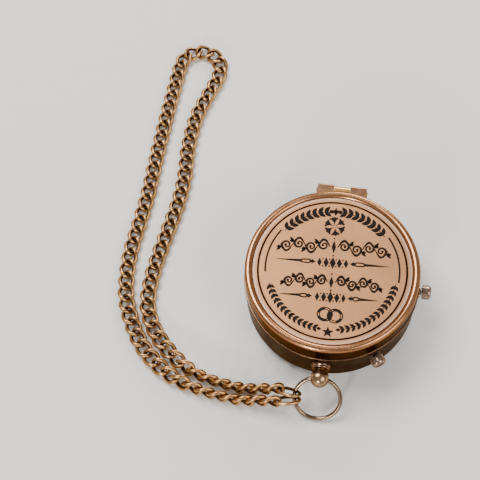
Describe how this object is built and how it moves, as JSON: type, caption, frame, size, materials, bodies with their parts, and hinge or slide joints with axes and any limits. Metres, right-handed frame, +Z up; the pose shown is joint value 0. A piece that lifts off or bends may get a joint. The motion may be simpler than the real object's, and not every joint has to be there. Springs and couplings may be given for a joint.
{
  "type": "pocket compass",
  "caption": "Round lidded pocket compass with a lift-up hinged lid, release and needle-brake push buttons, a wire bow and a twisted curb chain doubled into a loop.",
  "frame": {"origin": "centre of the flat face under the case, on the surface that it rests on", "axes": "+Z up out of the lid, +Y towards the lid's hinge, -Y towards the stem and bow"},
  "size_m": [0.1071, 0.1404, 0.025],
  "materials": {
    "case_bronze": "antiqued, dark brown bronze",
    "lid_copper": "antiqued copper brown, polished high spots",
    "plate_rose": "satin rose beige",
    "hinge_gold": "polished gold brass",
    "inner_brass": "satin brass",
    "button_rose": "satin greyish pink",
    "spring_steel": "brushed",
    "needle_blue": "blued",
    "jewel_red": "polished",
    "dial_paper": "printed card, matt",
    "gasket_rubber": "matt",
    "clear_glass": "clear",
    "bow_antique": "greyish antique brass",
    "chain_brass": "antique brass, dark in the crevices"
  },
  "bodies": {
    "case": {"case_body": "case_bronze", "neck_ring": "inner_brass", "hinge_leaf_case": "hinge_gold", "stem_collar": "lid_copper", "stem_knob": "hinge_gold", "stem_nut": "inner_brass", "release_bush": "button_rose", "brake_bush": "button_rose", "dial_plate": "inner_brass", "dial_card": "dial_paper", "chapter_ring": "inner_brass", "spacer_ring": "inner_brass", "glass_gasket": "gasket_rubber", "glass": "clear_glass", "bezel_ring": "inner_brass", "pivot_post": "inner_brass", "pivot_point": "spring_steel", "catch_spring": "spring_steel", "catch_block": "inner_brass", "catch_rivets": "inner_brass", "release_spring": "spring_steel", "brake_spring": "spring_steel", "lever_bracket": "inner_brass", "bracket_screws": "inner_brass", "lever_pin": "spring_steel"},
    "lid": {"lid_rim": "lid_copper", "lid_plate": "plate_rose", "hinge_leaf_lid": "lid_copper", "hinge_pin": "hinge_gold"},
    "needle": {"needle_blade": "needle_blue", "needle_cap": "inner_brass", "needle_jewel": "jewel_red"},
    "release_knob": {"release_button": "button_rose", "release_clip": "spring_steel"},
    "brake_knob": {"brake_button": "button_rose", "brake_clip": "spring_steel"},
    "lever": {"brake_lever": "spring_steel"},
    "bow": {"bow_ring": "bow_antique"},
    "chain": {"chain_end_links": "chain_brass", "chain_outer_run": "chain_brass", "chain_inner_run": "chain_brass"}
  },
  "joints": [
    {"name": "lid_hinge", "type": "hinge", "parent": "case", "child": "lid", "pos_m": [0, 0.0314, 0.0182], "axis": [-1, 0, 0], "range_deg": [0, 115]},
    {"name": "needle_spin", "type": "hinge", "parent": "case", "child": "needle", "pos_m": [0, 0, 0.02], "axis": [0, 0, 1], "continuous": true},
    {"name": "release_push", "type": "slide", "parent": "case", "child": "release_knob", "axis": [-0.5736, 0.8192, 0], "range_m": [0, 0.00075], "stiffness_N_per_m": 800, "springref_m": -0.0005, "deforming": ["release_spring", "catch_spring"]},
    {"name": "brake_push", "type": "slide", "parent": "case", "child": "brake_knob", "axis": [-1, 0, 0], "range_m": [0, 0.00075], "stiffness_N_per_m": 800, "springref_m": -0.0005, "deforming": ["brake_spring"]},
    {"name": "lever_lift", "type": "hinge", "parent": "case", "child": "lever", "pos_m": [0.0145, 0, 0.015], "axis": [0, 1, 0], "range_deg": [0, 2.5]},
    {"name": "bow_swing", "type": "hinge", "parent": "case", "child": "bow", "pos_m": [0, -0.0332, 0.0123], "axis": [-1, 0, 0], "range_deg": [-2, 32]},
    {"name": "chain_swing", "type": "hinge", "parent": "bow", "child": "chain", "pos_m": [-0.00748, -0.03867, 0.00643], "axis": [-1, 0, 0], "range_deg": [-32, 2]}
  ],
  "couplings": [
    {"joint": "lever_lift", "follows": "brake_push", "rad_per_m": 58.1},
    {"joint": "chain_swing", "follows": "bow_swing", "ratio": -1}
  ]
}
